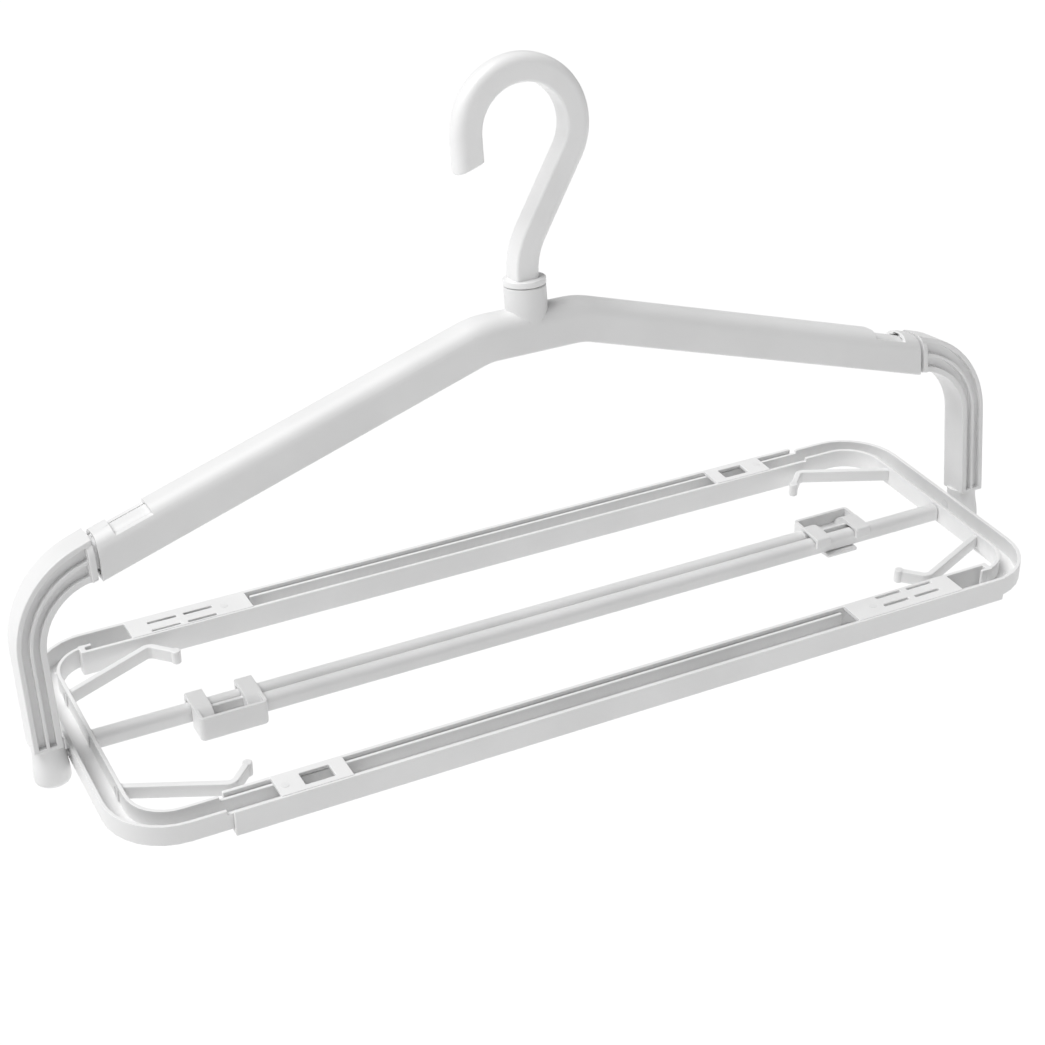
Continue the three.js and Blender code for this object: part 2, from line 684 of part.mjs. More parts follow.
function rackHalfBody() {
  const moulding = joined(endFrameBody(), sleeveBody(), rootWallBody());
  const pinBore = roundAlongX(pin.radius + gap, endX, rackEnd + overrun, 0, -rack.rise);
  return cut(moulding, pinBore, ...[barY, -pegY, pegY].map(tenonHole));
}

// A guide's finger: a ramp out of the pocket, a strap over the other bar and a lip down its far side
function fingerBody(start) {
  const root = -bar.halfGap - guide.boxWall / 2;
  const rampEnd = guide.boxWall - bar.halfGap - guide.boxWidth;
  const rampFoot = guide.boxWall - guide.boxBottom;
  const low = bar.height / 2 + gap;
  const top = low + guide.fingerTop;
  const farSide = bar.halfGap + bar.width + gap;
  const round = guide.fingerTop / 2;
  const shape = new THREE.Shape()
    .moveTo(root, rampFoot)
    .lineTo(root, low)
    .lineTo(farSide, low)
    .lineTo(farSide, low - guide.lipDrop)
    .lineTo(farSide + guide.lip, low - guide.lipDrop)
    .lineTo(farSide + guide.lip, top - round)
    .absarc(farSide + guide.lip - round, top - round, round, 0, Math.PI / 2)
    .lineTo(root, top)
    .absellipse(root, rampFoot, root - rampEnd, top - rampFoot, Math.PI / 2, Math.PI);
  return alongX(shape, start, start + guide.finger);
}

// Centre bar with, at its far end, the guide that holds it beside the other half's bar
function guideBody() {
  const near = -bar.halfGap;
  const plan = roundedSection(guide.length, guide.boxWidth, 0, guide.cornerRadius);
  const box = raised(plan, -guide.boxBottom, guide.boxTop)
    .translate((guideFrom + guideTo) / 2, near - guide.boxWidth / 2, 0);
  const pocket = block(
    corner(guideFrom + guide.boxWall, near - guide.boxWidth + guide.boxWall, guide.boxWall - guide.boxBottom),
    corner(guideTo - guide.boxWall, near - guide.boxWall, guide.boxTop + overrun),
  );
  const tabTop = -bar.height / 2 - gap;
  const tab = block(
    corner(guideFrom + guide.tabInset, near - guide.boxWall / 2, tabTop - guide.tabThickness),
    corner(guideTo - guide.tabInset, bar.halfGap + bar.width + gap + guide.lip, tabTop),
  );
  return joined(cut(box, pocket), fingerBody(guideFrom), fingerBody(guideTo - guide.finger), tab);
}

function centreBarBody() {
  const section = roundedSection(bar.width, bar.height, bar.topRadius, bar.topRadius / 4);
  const shaft = alongX(section, guideTo - guide.boxWall / 2, innerFace - gap).translate(0, barY, 0);
  return joined(shaft, tenonBody(barY), guideBody());
}

// Finishes
const glossAbs = { color: 0xf3f3f2, roughness: 0.38, metalness: 0 };
const satinPolypropylene = { color: 0xf1f1f0, roughness: 0.42, metalness: 0 };
const acetal = { color: 0xe9e9e7, roughness: 0.4, metalness: 0 };

function mesh(name, body, finish) {
  const piece = new THREE.Mesh(geometryOf(body), new THREE.MeshStandardMaterial(finish));
  piece.name = name;
  return piece;
}

const hanger = new THREE.Group();
hanger.add(
  mesh('hook', hookBody(), glossAbs),
  mesh('hook_retainer', retainerBody(), acetal),
  mesh('shoulder_beam', shoulderBody(), satinPolypropylene),
);

const armSolid = armBody();
const pinSolid = pinBody();
for (const [side, turn] of [['right', (body) => body], ['left', mirrored]]) {
  hanger.add(
    mesh(`${side}_arm`, turn(armSolid), satinPolypropylene),
    mesh(`${side}_pivot_pin`, turn(pinSolid), acetal),
  );
}

const swing = new THREE.Group();
swing.position.z = -rack.drop;
swing.rotation.x = THREE.MathUtils.degToRad(rack.droop);
const halfSolid = rackHalfBody();
const barSolid = centreBarBody();
const pegSolids = [['sleeve', pegBody(-1)], ['leg', pegBody(1)]];
for (const [side, turn] of [['right', 0], ['left', Math.PI]]) {
  const half = new THREE.Group();
  half.position.z = rack.rise;
  half.rotation.z = turn;
  half.add(
    mesh(`${side}_rack_half`, halfSolid, satinPolypropylene),
    mesh(`${side}_centre_bar`, barSolid, satinPolypropylene),
  );
  for (const [rail, body] of pegSolids) {
    half.add(mesh(`${side}_${rail}_side_peg`, body, satinPolypropylene));
  }
  swing.add(half);
}
hanger.add(swing);

export default hanger;
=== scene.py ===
import bmesh, bpy, json, math
from itertools import combinations
from mathutils import Matrix, Vector
from mathutils.geometry import intersect_point_line


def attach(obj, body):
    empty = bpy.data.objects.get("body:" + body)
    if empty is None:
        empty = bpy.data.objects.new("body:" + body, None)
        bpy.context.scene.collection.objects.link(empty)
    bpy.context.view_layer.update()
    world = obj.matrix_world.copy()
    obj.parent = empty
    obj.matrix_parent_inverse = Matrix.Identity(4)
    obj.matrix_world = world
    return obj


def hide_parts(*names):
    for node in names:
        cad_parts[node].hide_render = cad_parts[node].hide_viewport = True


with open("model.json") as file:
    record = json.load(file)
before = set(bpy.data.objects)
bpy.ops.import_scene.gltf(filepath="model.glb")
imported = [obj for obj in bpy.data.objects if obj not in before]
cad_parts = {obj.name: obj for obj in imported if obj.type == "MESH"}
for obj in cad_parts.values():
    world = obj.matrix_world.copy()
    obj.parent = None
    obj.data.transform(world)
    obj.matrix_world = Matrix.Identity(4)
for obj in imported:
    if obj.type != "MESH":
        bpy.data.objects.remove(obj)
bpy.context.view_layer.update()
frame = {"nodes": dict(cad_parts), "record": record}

mm = 0.001  # lengths in the dictionaries are in mm, only the stage's are in metres


# Camera: the photograph's viewpoint, worked out from the hanger's own edges
camera = {
    "place": (-326.4, -685.6, 153.4),  # from the hook's seat
    "forward": (0.3865, 0.8330, -0.3959),
    "up": (0.2341, 0.3266, 0.9157),
    "focalShare": 2086.9 / 1045,  # focal length over the frame's width
    "sensorWidth": 36,
    "clip": (0.01, 100),  # metres
}


def makeCamera():
    forward = Vector(camera["forward"]).normalized()
    right = forward.cross(Vector(camera["up"])).normalized()
    up = right.cross(forward)
    data = bpy.data.cameras.new("photoCamera")
    data.sensor_fit = 'HORIZONTAL'
    data.sensor_width = camera["sensorWidth"]
    data.lens = data.sensor_width * camera["focalShare"]
    data.clip_start, data.clip_end = camera["clip"]
    obj = bpy.data.objects.new("photoCamera", data)
    turn = Matrix((right, up, -forward)).transposed().to_4x4()
    obj.matrix_world = Matrix.Translation(Vector(camera["place"]) * mm) @ turn
    bpy.context.collection.objects.link(obj)
    bpy.context.scene.camera = obj


makeCamera()
print("camera set")


# Materials: three resins from one recipe
plastic = {
    "cloud": 38, "cloudDetail": 3.0, "flow": 9, "flowDetail": 1.0, "grainDetail": 2.0,
    "shadeUpTo": 0.35, "colourFrom": 0.62,  # where in the clouding each tint is pure
    "flowShare": 1.5, "bump": 0.06, "bumpHeight": 0.4,
    "glossier": 0.04, "duller": 0.05,  # how far roughness strays with the clouding
    "ior": 1.49, "scatterTint": (1.0, 0.98, 0.95), "scatterReach": 0.8,
}


def hexColour(code):
    values = [int(code[i:i + 2], 16) / 255 for i in (0, 2, 4)]
    linear = [v / 12.92 if v <= 0.04045 else ((v + 0.055) / 1.055) ** 2.4 for v in values]
    return (*linear, 1)


def addNode(tree, kind, settings=None, inputs=None):
    node = tree.nodes.new(kind)
    for key, value in (settings or {}).items():
        setattr(node, key, value)
    for key, value in (inputs or {}).items():
        if isinstance(value, bpy.types.NodeSocket):
            tree.links.new(value, node.inputs[key])
        else:
            node.inputs[key].default_value = value
    return node


def addNoise(tree, where, size, detail):
    inputs = {"Vector": where, "Scale": 1 / (size * mm), "Detail": detail}
    return addNode(tree, 'ShaderNodeTexNoise', {}, inputs).outputs["Fac"]


def mouldedPlastic(name, colour, shade, roughness, scatter, grain):
    # White resin from a spark-eroded mould: even satin skin, faint orange peel and flow clouding
    p = plastic
    mat = bpy.data.materials.new(name)
    mat.use_nodes = True
    tree = mat.node_tree
    tree.nodes.clear()
    where = addNode(tree, 'ShaderNodeTexCoord').outputs["Object"]
    cloud = addNoise(tree, where, p["cloud"], p["cloudDetail"])
    tint = addNode(tree, 'ShaderNodeValToRGB', {}, {"Fac": cloud})
    stops = ((p["shadeUpTo"], shade), (p["colourFrom"], colour))
    for element, (position, code) in zip(tint.color_ramp.elements, stops):
        element.position = position
        element.color = hexColour(code)
    peel = addNoise(tree, where, grain, p["grainDetail"])
    flow = addNoise(tree, where, p["flow"], p["flowDetail"])
    relief = addNode(tree, 'ShaderNodeMath', {"operation": 'MULTIPLY_ADD'},
                     {0: flow, 1: p["flowShare"], 2: peel})
    bump = addNode(tree, 'ShaderNodeBump', {}, {
        "Height": relief.outputs[0], "Strength": p["bump"], "Distance": p["bumpHeight"] * mm,
    })
    gloss = addNode(tree, 'ShaderNodeMapRange', {}, {
        "Value": cloud, "To Min": roughness - p["glossier"], "To Max": roughness + p["duller"],
    })
    skin = addNode(tree, 'ShaderNodeBsdfPrincipled', {}, {
        "Base Color": tint.outputs["Color"], "Roughness": gloss.outputs[0],
        "Normal": bump.outputs["Normal"], "IOR": p["ior"], "Subsurface Weight": scatter,
        "Subsurface Radius": p["scatterTint"], "Subsurface Scale": p["scatterReach"] * mm,
    })
    addNode(tree, 'ShaderNodeOutputMaterial', {}, {"Surface": skin.outputs["BSDF"]})
    return mat


# Hook in glossy ABS, frame in satin polypropylene, ring and pins in natural acetal
hookAbs = mouldedPlastic("glossWhiteAbsMoulded", colour="f3f3f3", shade="eeeeee",
                         roughness=0.34, scatter=0.1, grain=0.9)
framePp = mouldedPlastic("satinWhitePolypropyleneMoulded", colour="ececec", shade="e7e7e7",
                         roughness=0.42, scatter=0.12, grain=0.7)
innerAcetal = mouldedPlastic("naturalWhiteAcetalMoulded", colour="e8e8e8", shade="e3e3e3",
                             roughness=0.38, scatter=0.2, grain=0.6)
print("materials made")


# Finishing: new forms are drawn in mm and turned into metres once, CAD copies are in metres
finishing = {
    "weld": 0.002,  # vertices nearer than this become one
    "flat": 0.5,  # degrees, faces nearer level than this become one
    "steps": 3, "angle": 30,  # steps round a broken edge, degrees from which an edge is broken
    "shareOfRoom": 0.4, "least": 0.05,  # an edge with room for less than this stays sharp
    "runsOn": -0.75,  # cosine below which two edges run on into one another
    "evenWeight": 60,
}
bodyOf = {
    name: body
    for body, names in frame["record"]["behaviour"]["bodies"].items() for name in names
}


def meshFrom(bm, name):
    mesh = bpy.data.meshes.new(name)
    bm.to_mesh(mesh)
    bm.free()
    return mesh


def dressed(bm, name, material, body, width, limit):
    piece = bpy.data.objects.new(name, meshFrom(bm, name))
    soft = piece.modifiers.new("brokenEdges", 'BEVEL')
    soft.width = width * mm
    soft.segments = finishing["steps"]
    soft.limit_method = limit
    soft.angle_limit = math.radians(finishing["angle"])
    soft.use_clamp_overlap = False
    soft.loop_slide = False
    soft.miter_outer = 'MITER_ARC'
    for face in piece.data.polygons:
        face.use_smooth = True
    piece.data.materials.append(material)
    bpy.context.collection.objects.link(piece)
    even = piece.modifiers.new("evenShading", 'WEIGHTED_NORMAL')
    even.mode = 'FACE_AREA'
    even.weight = finishing["evenWeight"]
    even.keep_sharp = True
    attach(piece, body)
    return piece


def finished(bm, name, material, body, width):
    # A form in mm: all its sharp edges are broken by the same width
    bmesh.ops.remove_doubles(bm, verts=bm.verts, dist=finishing["weld"])
    bmesh.ops.recalc_face_normals(bm, faces=bm.faces)
    bmesh.ops.scale(bm, vec=(mm, mm, mm), verts=bm.verts)
    return dressed(bm, name, material, body, width, 'ANGLE')


def roomIn(face, edge):
    # How far a broken edge may reach into one of its faces before it meets the face's other edges
    start, end = (vert.co for vert in edge.verts)
    length = (end - start).length
    along = (end - start) / length
    room = math.inf
    for other in face.edges:
        if other is edge:
            continue
        ends = [vert.co for vert in other.verts]
        near = [vert.co for vert in other.verts if vert not in edge.verts]
        if len(near) == 2:
            for point in (start, end):
                share = intersect_point_line(point, *ends)[1]
                near.append(ends[0].lerp(ends[1], min(1, max(0, share))))
        for point in near:
            at = (point - start).dot(along)
            away = (point - start - along * at).length
            if -away < at < length + away:
                room = min(room, away)
    return room


def evened(bm, widths):
    # Edges that run on into one another share the smallest width among them
    uneven = True
    while uneven:
        uneven = False
        for vert in bm.verts:
            ways = [((edge.other_vert(vert).co - vert.co).normalized(), edge)
                    for edge in vert.link_edges if edge in widths]
            for (wayA, a), (wayB, b) in combinations(ways, 2):
                if wayA.dot(wayB) < finishing["runsOn"] and widths[a] != widths[b]:
                    widths[a] = widths[b] = min(widths[a], widths[b])
                    uneven = True


def softened(bm, name, material, body, width):
    # A form in metres: its edges are broken by less where a step or slot is small
    bmesh.ops.remove_doubles(bm, verts=bm.verts, dist=finishing["weld"] * mm)
    bmesh.ops.dissolve_limit(bm, angle_limit=math.radians(finishing["flat"]), verts=bm.verts,
                             edges=bm.edges)
    bmesh.ops.dissolve_degenerate(bm, edges=bm.edges, dist=finishing["weld"] * mm)
    weight = bm.edges.layers.float.new("bevel_weight_edge")
    widths = {}
    for edge in bm.edges:
        faces = edge.link_faces
        if len(faces) == 2 and edge.calc_face_angle(0) > math.radians(finishing["angle"]):
            room = min(roomIn(face, edge) for face in faces) * finishing["shareOfRoom"]
            if room > finishing["least"] * mm:
                widths[edge] = min(width * mm, room)
            else:
                edge.smooth = False
    evened(bm, widths)
    for edge, reach in widths.items():
        edge[weight] = reach / (width * mm)
    return dressed(bm, name, material, body, width, 'WEIGHT')


def copyOf(node):
    bm = bmesh.new()
    bm.from_mesh(frame["nodes"][node].data)
    bmesh.ops.remove_doubles(bm, verts=bm.verts, dist=finishing["weld"] * mm)
    return bm


# Modelling helpers
rounding = {"corner": 8, "lathe": 96}  # steps round a ring's corner and round a turned body
onPlane = 0.0001  # how near a cut a vertex has to be to lie on it
cornerGap = 0.01  # how much of a square's half side stays when it is rounded into a disc
sameCorner = 0.02  # how near its expected place a corner of the CAD has to be


def roundedRing(bm, width, height, upper, lower, at, across, up):
    # A rectangle rounded by the bevel tool, stood up as a ring of edges
    signs = ((-1, -1), (1, -1), (1, 1), (-1, 1))
    corners = [bm.verts.new((x * width / 2, y * height / 2, 0)) for x, y in signs]
    bm.faces.new(corners)
    for pair, radius in ((corners[2:], upper), (corners[:2], lower)):
        bmesh.ops.bevel(bm, geom=pair, offset=radius, offset_type='OFFSET', profile=0.5,
                        segments=rounding["corner"], affect='VERTICES', material=-1)
    bmesh.ops.delete(bm, geom=bm.faces[:], context='FACES_ONLY')
    across, up = Vector(across), Vector(up)
    stand = Matrix((across, up, across.cross(up))).transposed().to_4x4()
    bmesh.ops.transform(bm, matrix=Matrix.Translation(at) @ stand, verts=bm.verts)
    return bm.verts[:] + bm.edges[:]


def carried(bm, loop, by):
    made = bmesh.ops.spin(bm, geom=loop, dvec=by, axis=(0, 0, 1), angle=0, steps=1)
    return made["geom_last"]


def swung(bm, loop, centre, axis, angle, steps):
    made = bmesh.ops.spin(bm, geom=loop, cent=centre, axis=axis, angle=angle, steps=steps)
    return made["geom_last"]


def lathed(bm, profile):
    # A closed body turned about Z from (radius, height) pairs that start and end on the axis
    verts = [bm.verts.new((radius, 0, height)) for radius, height in profile]
    edges = [bm.edges.new(pair) for pair in zip(verts, verts[1:])]
    bmesh.ops.spin(bm, geom=verts + edges, cent=(0, 0, 0), axis=(0, 0, 1), angle=2 * math.pi,
                   steps=rounding["lathe"], use_merge=True)


def capped(bm):
    edges = [edge for edge in bm.edges if edge.is_boundary]
    bmesh.ops.holes_fill(bm, edges=edges, sides=0)


def cut(bm, point, normal, unit=mm, clear=True):
    # Cuts along a plane and leaves out what lies beyond it; unit is 1 for a form in mm
    bmesh.ops.bisect_plane(bm, geom=bm.verts[:] + bm.edges[:] + bm.faces[:], dist=onPlane * unit,
                           plane_co=point, plane_no=normal, clear_outer=clear)


def combined(first, second, operation):
    # One form joined with another or cut by it
    forms = []
    for bm in (first, second):
        bmesh.ops.recalc_face_normals(bm, faces=bm.faces)
        forms.append(bpy.data.objects.new("form", meshFrom(bm, "form")))
        bpy.context.collection.objects.link(forms[-1])
    tool = forms[0].modifiers.new("tool", 'BOOLEAN')
    tool.operation = operation
    tool.object = forms[1]
    made = bmesh.new()
    made.from_object(forms[0], bpy.context.evaluated_depsgraph_get())
    for form in forms:
        bpy.data.meshes.remove(form.data)
    return made


def addForm(bm, form):
    mesh = meshFrom(form, "form")
    bm.from_mesh(mesh)
    bpy.data.meshes.remove(mesh)


def addPad(bm, middle, width, height, radius, axis, reach):
    # A flat pad with round corners, standing reach mm out along X or Z from the middle of its base
    pad = bmesh.new()
    across, up = ((0, 1, 0), (0, 0, 1)) if axis == 'X' else ((1, 0, 0), (0, 1, 0))
    loop = roundedRing(pad, width, height, radius, radius, middle, across, up)
    carried(pad, loop, Vector(across).cross(Vector(up)) * reach)
    capped(pad)
    addForm(bm, pad)


def addDisc(bm, middle, radius, reach):
    addPad(bm, middle, 2 * radius, 2 * radius, radius - cornerGap, 'Z', reach)


# Hook: round back, flat inside, tip cut at a slant, on a flange with the swivel's stem below
hook = {
    "inside": 17.2, "thickness": 10.6, "depth": 10, "backRadius": 4, "edgeRadius": 1.2,
    "offset": 2.6, "tip": 11.2, "tipSlant": 3.5, "lowerRadius": 30, "root": -72.5,
    "intoFlange": 2, "bendSteps": 72, "rootSteps": 16, "edgeBreak": 0.7,
}
swivel = {
    "flangeRadius": 8.3, "flangeTop": -73.5, "flangeBottom": -75.9, "stemRadius": 4,
    "grooveRadius": 2.9, "grooveTop": -92.7, "grooveBottom": -95.3, "stemEnd": -98.5,
    "edgeBreak": 0.4,
}


def makeHook():
    bm = bmesh.new()
    middle = hook["inside"] + hook["thickness"] / 2
    crown = Vector((hook["offset"], 0, -math.sqrt(hook["inside"] ** 2 - hook["offset"] ** 2)))
    lower = Vector((hook["lowerRadius"], 0, hook["root"]))
    reach = lower - crown
    lean = (math.atan2(-reach.z, reach.x)
            - math.acos((middle + hook["lowerRadius"]) / reach.length))
    start = crown + Vector((-middle, 0, -hook["tip"] - hook["tipSlant"]))
    loop = roundedRing(bm, hook["depth"], hook["thickness"], hook["backRadius"],
                       hook["edgeRadius"], start, (0, 1, 0), (-1, 0, 0))
    loop = carried(bm, loop, (0, 0, crown.z - start.z))
    slant = Vector((hook["tipSlant"] / hook["thickness"], 0, -1))
    cut(bm, crown + Vector((-middle, 0, -hook["tip"])), slant, unit=1)
    loop = swung(bm, loop, crown, (0, 1, 0), math.pi + lean, hook["bendSteps"])
    straight = math.sqrt(reach.length ** 2 - (middle + hook["lowerRadius"]) ** 2)
    loop = carried(bm, loop, Vector((-math.sin(lean), 0, -math.cos(lean))) * straight)
    loop = swung(bm, loop, lower, (0, 1, 0), -lean, hook["rootSteps"])
    carried(bm, loop, (0, 0, -hook["intoFlange"]))
    capped(bm)
    piece = finished(bm, "hookBend", hookAbs, "hook", hook["edgeBreak"])
    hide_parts("hook")


def makeSwivel():
    bm = bmesh.new()
    s = swivel
    endRound = (s["stemRadius"] - s["grooveRadius"]) / 2
    lathed(bm, [
        (0, s["flangeTop"]), (s["flangeRadius"], s["flangeTop"]),
        (s["flangeRadius"], s["flangeBottom"]), (s["stemRadius"], s["flangeBottom"]),
        (s["stemRadius"], s["grooveTop"]), (s["grooveRadius"], s["grooveTop"]),
        (s["grooveRadius"], s["grooveBottom"]), (s["stemRadius"], s["grooveBottom"]),
        (s["stemRadius"], s["stemEnd"] + endRound), (s["grooveRadius"], s["stemEnd"]),
        (0, s["stemEnd"]),
    ])
    finished(bm, "hookSwivel", hookAbs, "hook", s["edgeBreak"])


makeHook()
makeSwivel()
print("hook made")


# Rack: details are drawn level, the left half's are turned half round, and both are then tilted
rack = {"drop": 216, "rise": 0.6, "droop": 8.7}
stake = {"from": 190.02, "thickness": 0.3, "width": 3.4, "height": 5, "radius": 0.8}


def rackPlace(side):
    turn = 0 if side == "right" else math.pi
    return (Matrix.Translation((0, 0, -rack["drop"]))
            @ Matrix.Rotation(math.radians(rack["droop"]), 4, 'X')
            @ Matrix.Translation((0, 0, rack["rise"])) @ Matrix.Rotation(turn, 4, 'Z'))


def inRack(bm, side):
    bmesh.ops.transform(bm, matrix=rackPlace(side), verts=bm.verts)


def addStake(bm, y):
    # The staked head of a tenon, on the inside of the end frame's channel
    addPad(bm, (stake["from"], y, 0), stake["width"], stake["height"], stake["radius"], 'X',
           stake["thickness"])


# Pegs: thin springy rails bent inwards at an elbow, with a bead on the tip
peg = {
    "root": (188.5, 32), "elbow": (152, 48.4), "tip": (143.6, 39.8), "elbowRadius": 3.4,
    "elbowSteps": 12, "thickness": 2.6, "height": 5.5, "top": 3.1, "edgeRadius": 0.5,
    "beadRadius": 1.9, "beadProud": 0.12, "buried": 0.9, "edgeBreak": 0.45,
}


def makePeg(side, rail):
    way = -1 if rail == "sleeve" else 1
    places = (peg["root"], peg["elbow"], peg["tip"])
    root, elbow, tip = (Vector((x, way * y, 0)) for x, y in places)
    out, back = (elbow - root).normalized(), (tip - elbow).normalized()
    turn = -out.xy.angle_signed(back.xy)
    tangent = peg["elbowRadius"] * math.tan(abs(turn) / 2)
    level = Vector((0, 0, peg["top"] - peg["height"] / 2))
    sideways = Vector((0, 0, 1)).cross(out)
    bm = bmesh.new()
    beadBase = Vector((0, 0, peg["top"] - peg["height"] - peg["beadProud"]))
    addDisc(bm, tip + beadBase, peg["beadRadius"], peg["height"] + 2 * peg["beadProud"])
    rod = bmesh.new()
    start = root - out * peg["buried"]
    loop = roundedRing(rod, peg["thickness"], peg["height"], peg["edgeRadius"],
                       peg["edgeRadius"], start + level, sideways, (0, 0, 1))
    loop = carried(rod, loop, out * ((elbow - start).length - tangent))
    corner = elbow - out * tangent + level
    centre = corner + sideways * peg["elbowRadius"] * math.copysign(1, turn)
    loop = swung(rod, loop, centre, (0, 0, 1), turn, peg["elbowSteps"])
    carried(rod, loop, back * ((tip - elbow).length - tangent))
    capped(rod)
    addForm(bm, rod)
    addStake(bm, way * peg["root"][1])
    inRack(bm, side)
    node = side + "_" + rail + "_side_peg"
    piece = finished(bm, node + "Rail", framePp, bodyOf[node], peg["edgeBreak"])
    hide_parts(node)


# Bar details: its tenon's staked head, the raised floor of its guide's pocket and two gate marks
barDetails = {
    "line": -3.4,  # from the rack's centre line to the middle of the bar
    "floorFrom": -149.45, "floorTo": -125.55, "floorNear": -1.85, "floorFar": -9.15,
    "floorBottom": -3.7, "floorTop": -0.5, "floorRadius": 0.5,
    "marks": [(-136.8, -60.2, 4.55), (116.5, -59.2, 4.55)], "markRadius": 1.5, "markHeight": 0.1,
    "edgeBreak": 0.1,
}


def makeBarDetails(side):
    bm = bmesh.new()
    b = barDetails
    addStake(bm, b["line"])
    middle = ((b["floorFrom"] + b["floorTo"]) / 2, (b["floorNear"] + b["floorFar"]) / 2,
              b["floorBottom"])
    addPad(bm, middle, b["floorTo"] - b["floorFrom"], b["floorNear"] - b["floorFar"],
           b["floorRadius"], 'Z', b["floorTop"] - b["floorBottom"])
    for mark in b["marks"]:
        addDisc(bm, mark, b["markRadius"], b["markHeight"])
    inRack(bm, side)
    finished(bm, side + "BarDetails", framePp, bodyOf[side + "_centre_bar"],
             b["edgeBreak"])


# Foot below each leg: a sill that closes the leg's recesses and a knob that widens downwards
foot = {
    "inner": 202.2, "outer": 211, "depth": 12.9, "sillTop": -208.8, "sillBottom": -210.1,
    "sillRadius": 0.3, "middle": 205.7, "intoSill": 0.8, "waist": (6.1, -212.5),
    "widest": (6.9, -221.5), "bottom": -226.2, "round": 3, "steps": 8, "edgeBreak": 0.2,
}


def makeFoot(side):
    bm = bmesh.new()
    f = foot
    way = 1 if side == "right" else -1
    waist, high = f["waist"]
    widest, low = f["widest"]
    top = f["sillBottom"] + f["intoSill"]
    shares = [step / f["steps"] for step in range(f["steps"] + 1)]
    profile = [(0, top), (waist, top)]
    for share in shares:
        swell = (1 - math.cos(math.pi * share)) / 2
        profile.append((waist + (widest - waist) * swell, high + (low - high) * share))
    for share in shares:
        turn = math.pi / 2 * share
        profile.append((widest - f["round"] * (1 - math.cos(turn)),
                        f["bottom"] + f["round"] * (1 - math.sin(turn))))
    lathed(bm, profile + [(0, f["bottom"])])
    bmesh.ops.translate(bm, verts=bm.verts, vec=(way * f["middle"], 0, 0))
    base = (way * (f["inner"] + f["outer"]) / 2, 0, f["sillBottom"])
    addPad(bm, base, f["outer"] - f["inner"], f["depth"], f["sillRadius"], 'Z',
           f["sillTop"] - f["sillBottom"])
    finished(bm, side + "ArmFoot", framePp, bodyOf[side + "_arm"],
             f["edgeBreak"])


# Middle of the beam, with the round neck standing straight out of its rounded top
neck = {
    "drop": 93.2, "height": 16, "depth": 16.6, "topRadius": 6.4, "bottomRadius": 0.9,
    "halfLength": 14, "radius": 8.2, "top": -76.2, "bore": 4.3, "pocketRadius": 6.9,
    "pocketTop": -92.7, "overrun": 1, "edgeBreak": 0.6,
}


def leaveOutMiddle(bm):
    reach = neck["halfLength"] * mm
    for side in (-1, 1):
        cut(bm, (side * reach, 0, 0), (1, 0, 0), clear=False)
    middle = [face for face in bm.faces if abs(face.calc_center_median().x) < reach]
    bmesh.ops.delete(bm, geom=middle, context='FACES')


def makeNeck():
    n = neck
    beam = bmesh.new()
    loop = roundedRing(beam, n["depth"], n["height"], n["topRadius"], n["bottomRadius"],
                       (-n["halfLength"], 0, -n["drop"]), (0, 1, 0), (0, 0, 1))
    carried(beam, loop, (2 * n["halfLength"], 0, 0))
    capped(beam)
    post = bmesh.new()
    lathed(post, [(0, -n["drop"]), (n["radius"], -n["drop"]), (n["radius"], n["top"]),
                  (0, n["top"])])
    bore = bmesh.new()
    below = -n["drop"] - n["height"]
    above = n["top"] + n["overrun"]
    lathed(bore, [(0, below), (n["pocketRadius"], below), (n["pocketRadius"], n["pocketTop"]),
                  (n["bore"], n["pocketTop"]), (n["bore"], above), (0, above)])
    bm = combined(combined(beam, post, 'UNION'), bore, 'DIFFERENCE')
    ends = [face for face in bm.faces
            if abs(abs(face.calc_center_median().x) - n["halfLength"]) < finishing["weld"]]
    bmesh.ops.delete(bm, geom=ends, context='FACES_ONLY')
    bmesh.ops.scale(bm, vec=(mm, mm, mm), verts=bm.verts)
    softened(bm, "shoulderNeck", framePp, bodyOf["shoulder_beam"],
             n["edgeBreak"])


# Mouldings that start from the CAD's own form, with the width that breaks each one's edges
mouldings = {
    "hook_retainer": (innerAcetal, "inner_plastic", 0.2),
    "shoulder_beam": (framePp, "frame_plastic", 0.6),
    "arm": (framePp, "frame_plastic", 0.5),
    "pivot_pin": (innerAcetal, "inner_plastic", 0.3),
    "rack_half": (framePp, "frame_plastic", 0.35),
    "centre_bar": (framePp, "frame_plastic", 0.5),
}
arm = {
    "depth": 13, "web": 1.1, "recessDepth": 2.2, "recessesFrom": 181,
    "cut": -204, "legEnd": -210.2,
}
pivotPin = {"wall": 197, "headShare": 0.075}  # the channel's outer wall, how much head is kept
centreBar = {
    "end": 190, "notchFrom": -144, "notchTo": -131, "notchTop": 3.2,
    "guideWall": (-1.85, -0.25), "guideTop": 5,
}


def shallowRecess(bm):
    # The web of each arm comes forward, so that its recesses are as shallow as they look
    floor = arm["depth"] / 2 - arm["recessDepth"]
    for vert in bm.verts:
        onWeb = abs(abs(vert.co.y) - arm["web"] * mm) < sameCorner * mm
        if onWeb and abs(vert.co.x) > arm["recessesFrom"] * mm:
            vert.co.y = math.copysign(floor * mm, vert.co.y)


def withoutFoot(bm):
    # The leg is upright where its foot is cut off, and runs on straight down to its end
    cut(bm, (0, 0, arm["cut"] * mm), (0, 0, -1))
    end = [vert for vert in bm.verts if vert.is_boundary]
    bmesh.ops.translate(bm, verts=end, vec=(0, 0, (arm["legEnd"] - arm["cut"]) * mm))
    capped(bm)
    bmesh.ops.recalc_face_normals(bm, faces=bm.faces)


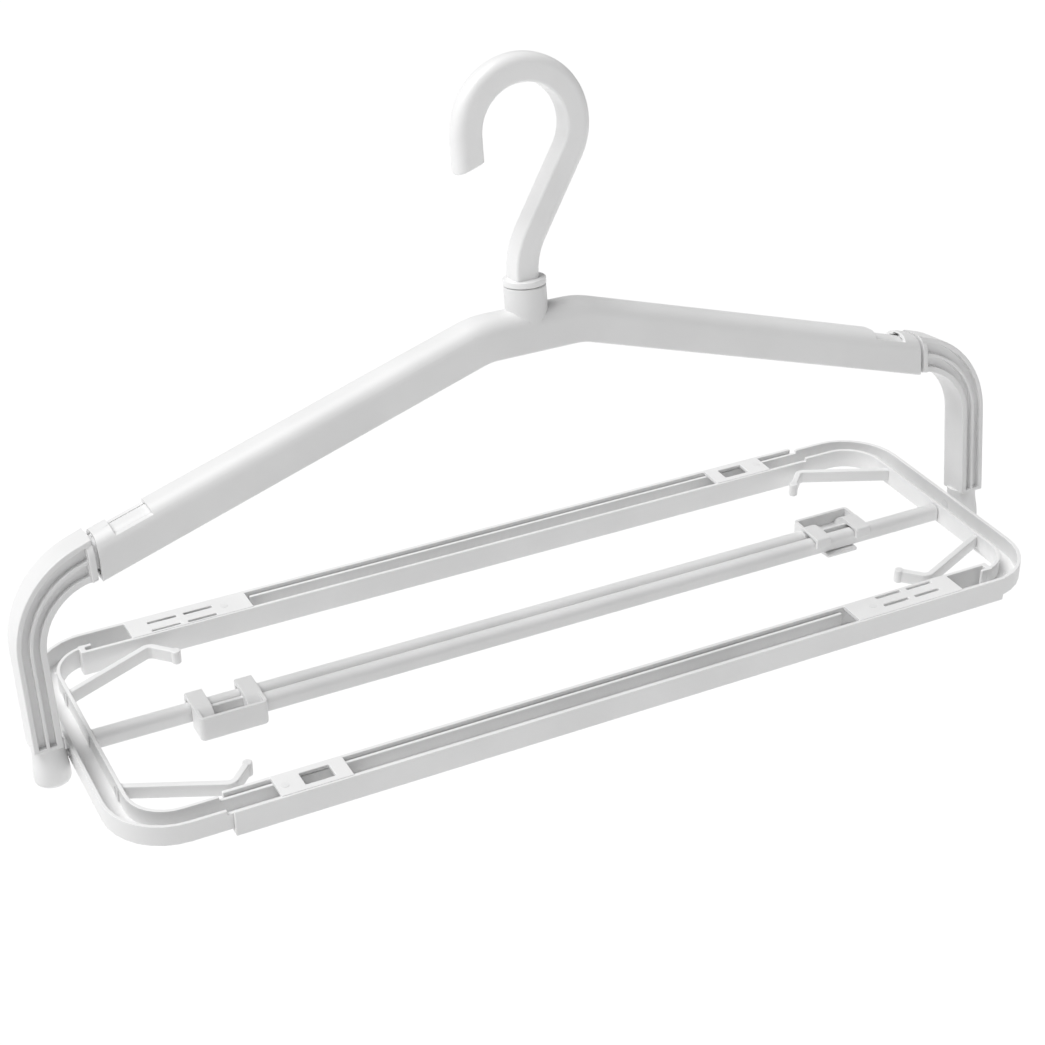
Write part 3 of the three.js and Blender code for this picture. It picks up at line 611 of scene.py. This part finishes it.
def flattenHead(bm):
    # A pin's head is drawn nearly level with the channel's wall, since the photograph shows none
    for vert in bm.verts:
        proud = pivotPin["wall"] - abs(vert.co.x) / mm
        if proud > 0:
            reach = pivotPin["wall"] - proud * pivotPin["headShare"]
            vert.co.x = math.copysign(reach * mm, vert.co.x)


def flushEnds(bm):
    # A bar ends level with the inside of the end frame's channel
    for side in (-1, 1):
        cut(bm, (side * centreBar["end"] * mm, 0, 0), (side, 0, 0))
        capped(bm)


def lowerGuideWall(bm, side):
    # A guide's inner wall is lower between its two fingers
    b = centreBar
    place = rackPlace(side)
    back = place.inverted()
    for vert in bm.verts:
        at = back @ (vert.co / mm)
        fromEnds = min(abs(at.x - b["notchFrom"]), abs(at.x - b["notchTo"]))
        onTop = abs(at.z - b["guideTop"]) < sameCorner
        if fromEnds < sameCorner and onTop and b["guideWall"][0] < at.y < b["guideWall"][1]:
            vert.co = place @ Vector((at.x, at.y, b["notchTop"])) * mm


def makeMouldings():
    for node in frame["nodes"]:
        kind = node.removeprefix("right_").removeprefix("left_")
        if kind in mouldings:
            material, slot, width = mouldings[kind]
            bm = copyOf(node)
            if kind == "shoulder_beam":
                leaveOutMiddle(bm)
            elif kind == "arm":
                shallowRecess(bm)
                withoutFoot(bm)
            elif kind == "pivot_pin":
                flattenHead(bm)
            elif kind == "centre_bar":
                flushEnds(bm)
                lowerGuideWall(bm, node.split("_")[0])
            piece = softened(bm, node + "Moulding", material, bodyOf[node], width)
            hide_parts(node)


for side in ("right", "left"):
    for rail in ("sleeve", "leg"):
        makePeg(side, rail)
    makeBarDetails(side)
    makeFoot(side)
makeMouldings()
makeNeck()
print("mouldings made")


# Stage: white paper floor far below the rail, an even soft sky and one wide light from above left
stage = {
    "drop": 1.5, "size": 60, "floor": "fbfbfb", "roughness": 0.9,
    "sky": 0.28, "skyColour": "ffffff",
    "sun": 2.85, "sunSpread": 50, "sunFrom": (-0.46, 0.06, 0.89),
}


def makeStage():
    bm = bmesh.new()
    bmesh.ops.create_grid(bm, x_segments=1, y_segments=1, size=stage["size"] / 2)
    bmesh.ops.translate(bm, verts=bm.verts, vec=(0, 0, -stage["drop"]))
    floor = bpy.data.objects.new("studioFloor", meshFrom(bm, "studioFloor"))
    bpy.context.collection.objects.link(floor)
    mat = bpy.data.materials.new("paleStudioPaper")
    mat.use_nodes = True
    paper = mat.node_tree.nodes["Principled BSDF"]
    paper.inputs["Base Color"].default_value = hexColour(stage["floor"])
    paper.inputs["Roughness"].default_value = stage["roughness"]
    floor.data.materials.append(mat)
    world = bpy.data.worlds.new("whiteStudio")
    world.use_nodes = True
    background = world.node_tree.nodes["Background"]
    background.inputs["Color"].default_value = hexColour(stage["skyColour"])
    background.inputs["Strength"].default_value = stage["sky"]
    bpy.context.scene.world = world
    data = bpy.data.lights.new("softTopLight", 'SUN')
    data.energy = stage["sun"]
    data.angle = math.radians(stage["sunSpread"])
    lamp = bpy.data.objects.new("softTopLight", data)
    lamp.rotation_euler = Vector(stage["sunFrom"]).to_track_quat('Z', 'Y').to_euler()
    bpy.context.collection.objects.link(lamp)
    bpy.context.scene.view_settings.view_transform = 'Standard'


makeStage()
print("stage lit")
